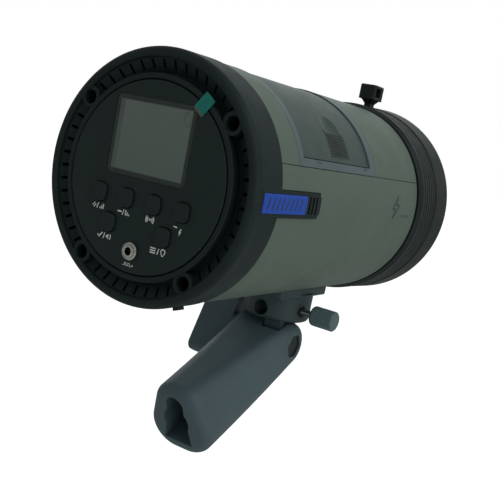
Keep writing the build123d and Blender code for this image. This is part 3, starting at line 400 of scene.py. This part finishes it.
def stroke_edges(path, width):
    """Left and right edges of a stroke of one width along a flat path."""
    left_edge, right_edge = [], []
    for i, (x, z) in enumerate(path):
        before, after = path[max(i - 1, 0)], path[min(i + 1, len(path) - 1)]
        dx, dz = after[0] - before[0], after[1] - before[1]
        size = sqrt(dx * dx + dz * dz) or 1.0
        nx, nz = -dz / size * width / 2, dx / size * width / 2
        left_edge.append((x + nx, z + nz))
        right_edge.append((x - nx, z - nz))
    return left_edge, right_edge


def on_panel(x, z, lift):
    """A point over the panel's rear face, lift mm proud of it."""
    return head(x, -lift, z)


def on_side(radius):
    """Places points on the head's right side at one radius, from mm forward and above the axis."""
    def place(forward, height, lift):
        angle = asin(height / radius)
        return head((radius + lift) * cos(angle), forward, (radius + lift) * sin(angle))
    return place


class Ink:
    """Printed marks: strokes and patches of ink with real thickness, laid on a surface."""

    def __init__(self, place=on_panel, top=0.035, bottom=-0.01, bold=1.35):
        self.bm = bmesh.new()
        self.bold = bold
        self.place, self.top, self.bottom = place, top, bottom

    def _pair(self, x, z):
        return [self.bm.verts.new(self.place(x, z, lift)) for lift in (self.top, self.bottom)]

    def _wall(self, a, b):
        self.bm.faces.new((a[0], b[0], b[1], a[1]))

    def stroke(self, path, width):
        left_edge, right_edge = stroke_edges(path, width * self.bold)
        lefts = [self._pair(*p) for p in left_edge]
        rights = [self._pair(*p) for p in right_edge]
        for i in range(len(path) - 1):
            j = i + 1
            self.bm.faces.new((lefts[i][0], rights[i][0], rights[j][0], lefts[j][0]))
            self.bm.faces.new((lefts[j][1], rights[j][1], rights[i][1], lefts[i][1]))
            self._wall(lefts[j], lefts[i])
            self._wall(rights[i], rights[j])
        self._wall(lefts[0], rights[0])
        self._wall(rights[-1], lefts[-1])

    def patch(self, points):
        ring = [self._pair(*p) for p in points]
        self.bm.faces.new([p[0] for p in ring])
        self.bm.faces.new([p[1] for p in reversed(ring)])
        for i, p in enumerate(ring):
            self._wall(ring[(i + 1) % len(ring)], p)

    def arc(self, x, z, radius, start, end, width, steps=18):
        turn = [radians(start + (end - start) * i / steps) for i in range(steps + 1)]
        self.stroke([(x + radius * cos(a), z + radius * sin(a)) for a in turn], width)

    def dot(self, x, z, radius, steps=18):
        turn = [2 * pi * i / steps for i in range(steps)]
        self.patch([(x + radius * cos(a), z + radius * sin(a)) for a in turn])

    def mesh(self, name):
        bmesh.ops.recalc_face_normals(self.bm, faces=self.bm.faces)
        mesh = bpy.data.meshes.new(name)
        self.bm.to_mesh(mesh)
        self.bm.free()
        return mesh


def mark(name, draw, slot="panel_black", finish=WHITE_INK, **where):
    """One printed sign on the head; draw puts its strokes down."""
    ink = Ink(**where)
    draw(ink)
    piece(name, ink.mesh(name), "head", finish)


# ---------------------------------------------------------------- printed marks on the panel
# Places and widths are in mm, from the axis.
ROW_1, ROW_2 = -17.4, -30.3
BOLD_LINE, LINE, THIN_LINE = 0.55, 0.42, 0.4
COLUMN_PITCH, COLUMN_WIDTH, COLUMN_FOOT = 0.95, 0.6, -1.2


def slash(ink, x, z, half):
    """A leaning stroke between two signs, reaching half above and below z."""
    ink.stroke([(x, z - half), (x + 0.7, z + half)], THIN_LINE)


def levels(ink, x, z, heights):
    """Small columns on one line, for a setting that goes up or down."""
    for step, height in enumerate(heights):
        left, foot = x + COLUMN_PITCH * step, z + COLUMN_FOOT
        right = left + COLUMN_WIDTH
        ink.patch([(left, foot), (right, foot), (right, foot + height), (left, foot + height)])


def draw_plus(ink):
    """A plus, and columns that rise."""
    x, z = -26.2, ROW_1
    ink.stroke([(x - 1.1, z), (x + 1.1, z)], BOLD_LINE)
    ink.stroke([(x, z - 1.1), (x, z + 1.1)], BOLD_LINE)
    slash(ink, x + 1.7, z, 1.3)
    levels(ink, x + 3.3, z, (0.8, 1.6, 2.4))


def draw_minus(ink):
    """A minus, and columns that fall."""
    x, z = -10.6, ROW_1
    ink.stroke([(x - 1.3, z + 0.1), (x + 1.1, z + 0.1)], BOLD_LINE)
    slash(ink, x + 1.7, z, 1.3)
    levels(ink, x + 3.3, z, (2.4, 1.6, 0.8))


def draw_waves(ink):
    """Radio channel: a dot between two pairs of waves."""
    x, z = 7.2, ROW_1
    ink.dot(x, z, 0.5)
    for radius in (1.3, 2.2):
        ink.arc(x, z, radius, -42, 42, 0.45)
        ink.arc(x, z, radius, 138, 222, 0.45)


def draw_flash(ink):
    """A short bar and a lightning flash, for the modelling lamp's modes."""
    x, z = 23.6, ROW_1
    ink.patch([(x - 3.0, z + 0.35), (x - 0.9, z + 0.15), (x - 0.9, z - 0.45), (x - 3.0, z - 0.25)])
    ink.patch([(x + 1.0, z - 0.4), (x + 0.2, z - 2.3), (x + 0.85, z - 2.3), (x + 0.4, z - 3.9),
               (x + 1.75, z - 1.75), (x + 1.05, z - 1.75), (x + 1.7, z - 0.4)])


def draw_speaker(ink):
    """Tick for set, then a loudspeaker with one wave for the beeper."""
    x, z = -20.0, ROW_2
    ink.stroke([(x - 1.3, z + 0.1), (x - 0.4, z - 1.0), (x + 1.5, z + 1.3)], 0.5)
    slash(ink, x + 2.2, z, 1.4)
    ink.patch([(x + 3.7, z - 0.5), (x + 4.4, z - 0.5), (x + 5.3, z - 1.3), (x + 5.3, z + 1.3),
               (x + 4.4, z + 0.5), (x + 3.7, z + 0.5)])
    ink.arc(x + 4.9, z, 1.6, -45, 45, LINE)


def draw_lamp(ink):
    """Three bars for the mode menu, then a bulb."""
    x, z = 10.4, ROW_2
    for step in (-1, 0, 1):
        ink.stroke([(x - 0.2, z + 1.05 * step), (x + 3.0, z + 1.05 * step)], 0.45)
    slash(ink, x + 4.0, z, 1.4)
    ink.arc(x + 7.1, z + 0.4, 1.15, -60, 240, LINE)
    ink.stroke([(x + 6.5, z - 1.3), (x + 7.7, z - 1.3)], LINE)
    for side in (x + 6.5, x + 7.7):
        ink.stroke([(side, z - 0.65), (side, z - 1.1)], 0.36)


def draw_sync(ink):
    """Two pulses on one line, and a dot, under the sync jack."""
    x, z = -0.7, -40.0
    low, high = z - 0.6, z + 0.6
    ink.stroke([(x - 2.9, low), (x - 2.0, low), (x - 2.0, high), (x - 1.1, high), (x - 1.1, low),
                (x, low), (x, high), (x + 0.9, high), (x + 0.9, low), (x + 1.9, low)], 0.32)
    ink.dot(x + 2.6, z - 0.1, 0.42)


PANEL_MARKS = {"mark_plus": draw_plus, "mark_minus": draw_minus, "mark_channel": draw_waves,
               "mark_flash": draw_flash, "mark_beeper": draw_speaker, "mark_mode": draw_lamp,
               "mark_sync": draw_sync}
for label, drawing in PANEL_MARKS.items():
    mark(label, drawing)

# ---------------------------------------------------------------- marks on the head's side
BAR_COUNT, BAR_START, BAR_PITCH, BAR_LEAN, BAR_WIDTH = 8, 10.4, 4.1, 1.8, 1.15
BAR_FOOT, BAR_TOP = -1.5, 3.9
DOT_COUNT, DOT_START, DOT_PITCH, DOT_R = 3, 12.5, 4.6, 0.9


def finely(path, step=0.7):
    """The same line with points close enough together to follow the round side."""
    points = [path[0]]
    for (x0, z0), (x1, z1) in zip(path, path[1:]):
        parts = max(1, round(sqrt((x1 - x0) ** 2 + (z1 - z0) ** 2) / step))
        points += [(x0 + (x1 - x0) * i / parts, z0 + (z1 - z0) * i / parts) for i in range(1, parts + 1)]
    return points


def draw_badge(ink):
    """A row of leaning bars along the badge."""
    for step in range(BAR_COUNT):
        f = BAR_START + BAR_PITCH * step
        ink.stroke(finely([(f, BAR_FOOT), (f + BAR_LEAN, BAR_TOP)]), BAR_WIDTH)


def draw_bolt(ink):
    """A lightning flash, the usual sign for a strobe, and three dots."""
    f, z = 158.5, 3.2
    ink.stroke(finely([(f + 2.2, z + 6.6), (f - 4.6, z - 1.0), (f - 0.4, z - 1.0), (f - 2.4, z - 7.0),
                       (f + 4.8, z + 1.4), (f + 0.6, z + 1.4), (f + 2.2, z + 6.6)]), 1.0)
    for step in range(DOT_COUNT):
        ink.dot(f + DOT_START + DOT_PITCH * step, z - 5.0, DOT_R)


mark("badge_relief", draw_badge, "badge_blue", BADGE_INK, place=on_side(BADGE_R), top=0.03,
     bottom=-0.02, bold=1.0)
mark("side_mark", draw_bolt, "body_green", GREY_INK, place=on_side(BODY_R), top=0.04,
     bottom=-0.02, bold=1.0)

# ---------------------------------------------------------------- stage, light and camera
FLOOR_Z = CAD_BOX[0][2] - 0.11                           # well below the object, which a stand holds up
FLOOR_MIDDLE, FLOOR_SIDES, FLOOR_GLOW = 0.05, 96, 0.82
FLOOR_RINGS = (0.2, 0.6, 1.4, 3.0, 7.0, 16.0)


def floor_mesh():
    """A wide flat disc in rings."""
    bm = bmesh.new()
    turns = [2 * pi * i / FLOOR_SIDES for i in range(FLOOR_SIDES)]
    rings = [[bm.verts.new((FLOOR_MIDDLE + r * cos(a), FLOOR_MIDDLE + r * sin(a), FLOOR_Z)) for a in turns]
             for r in FLOOR_RINGS]
    bm.faces.new(rings[0])
    for inner, outer in zip(rings, rings[1:]):
        for i in range(FLOOR_SIDES):
            j = (i + 1) % FLOOR_SIDES
            bm.faces.new((inner[i], outer[i], outer[j], inner[j]))
    mesh = bpy.data.meshes.new("floor")
    bm.to_mesh(mesh)
    bm.free()
    return mesh


def pale_floor():
    """Bright to the eye, so that the sweep reads white, while it lights the object softly."""
    k = Kit("pale floor")
    tone = k.mix(k.spread(k.noise(3, 3), 0.3, 0.7), srgb(224, 224, 224), srgb(230, 230, 230))
    seen = k.add("ShaderNodeLightPath").outputs["Is Camera Ray"]
    k.link(k.math("MULTIPLY", seen, FLOOR_GLOW), k.shader.inputs["Emission Strength"])
    return k.finish(tone, k.spread(k.noise(12, 3), 0.3, 0.7, 0.7, 0.85), None,
                    Emission_Color=(1, 1, 1, 1), Specular_IOR_Level=0.1)


floor = bpy.data.objects.new("floor", floor_mesh())
floor.data.materials.append(pale_floor())
bpy.context.scene.collection.objects.link(floor)

ROOM_LIGHT, BACKDROP_LIGHT = 0.27, 0.9
LIGHT_TINT = (0.92, 1.0, 0.98)
BACKDROP_WAY = Vector((-0.506, 0.862, -0.05))
BACKDROP_EDGE, BACKDROP_CORE = 0.55, 0.97                # cosines of the angle from that way


def soft_room():
    """White all round to the eye; as light, a dim room with a bright backdrop behind the object."""
    world = bpy.data.worlds.new("soft room")
    world.use_nodes = True
    tree = world.node_tree
    tree.nodes.clear()
    out = tree.nodes.new("ShaderNodeOutputWorld")
    light, white, both = (tree.nodes.new(n) for n in ("ShaderNodeBackground", "ShaderNodeBackground",
                                                      "ShaderNodeMixShader"))
    way = tree.nodes.new("ShaderNodeTexCoord").outputs["Generated"]
    dot = tree.nodes.new("ShaderNodeVectorMath")
    dot.operation = "DOT_PRODUCT"
    dot.inputs[1].default_value = BACKDROP_WAY.normalized()
    ramp = tree.nodes.new("ShaderNodeMapRange")
    ramp.interpolation_type = "SMOOTHSTEP"
    for key, value in ((1, BACKDROP_EDGE), (2, BACKDROP_CORE), (3, ROOM_LIGHT),
                       (4, ROOM_LIGHT + BACKDROP_LIGHT)):
        ramp.inputs[key].default_value = value
    path = tree.nodes.new("ShaderNodeLightPath")
    for source, target in ((way, dot.inputs[0]), (dot.outputs["Value"], ramp.inputs[0]),
                           (ramp.outputs[0], light.inputs["Strength"]),
                           (path.outputs["Is Camera Ray"], both.inputs[0]),
                           (light.outputs[0], both.inputs[1]), (white.outputs[0], both.inputs[2]),
                           (both.outputs[0], out.inputs[0])):
        tree.links.new(source, target)
    white.inputs["Color"].default_value = (1, 1, 1, 1)
    light.inputs["Color"].default_value = (*LIGHT_TINT, 1)
    white.inputs["Strength"].default_value = 1.0
    return world


bpy.context.scene.world = soft_room()


MIDDLE = Vector((0.0, 0.06, 0.1))


def softbox(name, place, width, height, power):
    """A rectangular light that looks at the middle of the object."""
    light = bpy.data.lights.new(name, "AREA")
    light.shape, light.size, light.size_y = "RECTANGLE", width, height
    light.energy, light.color = power, LIGHT_TINT
    obj = bpy.data.objects.new(name, light)
    obj.location = place
    obj.rotation_euler = (MIDDLE - Vector(place)).to_track_quat("-Z", "Y").to_euler()
    bpy.context.scene.collection.objects.link(obj)


softbox("key", (0.72, -0.1, 0.78), 0.8, 0.8, 2.7)
softbox("low fill", (0.9, -0.2, -0.05), 0.7, 0.5, 1.0)

CAMERA_PLACE = Vector((0.2272, -0.3454, 0.1567))
CAMERA_TURN, CAMERA_DIP, CAMERA_ROLL = radians(30.424), radians(8.0307), radians(11.1955)

camera_data = bpy.data.cameras.new("camera")
camera_data.lens, camera_data.sensor_width = 57.99, 36.0
camera_data.clip_start, camera_data.clip_end = 0.01, 50.0
camera = bpy.data.objects.new("camera", camera_data)
camera.matrix_world = (Matrix.Translation(CAMERA_PLACE) @ Matrix.Rotation(CAMERA_TURN, 4, "Z")
                       @ Matrix.Rotation(pi / 2 - CAMERA_DIP, 4, "X")
                       @ Matrix.Rotation(CAMERA_ROLL, 4, "Z"))
bpy.context.scene.collection.objects.link(camera)
bpy.context.scene.camera = camera
bpy.context.scene.view_settings.view_transform = "Standard"
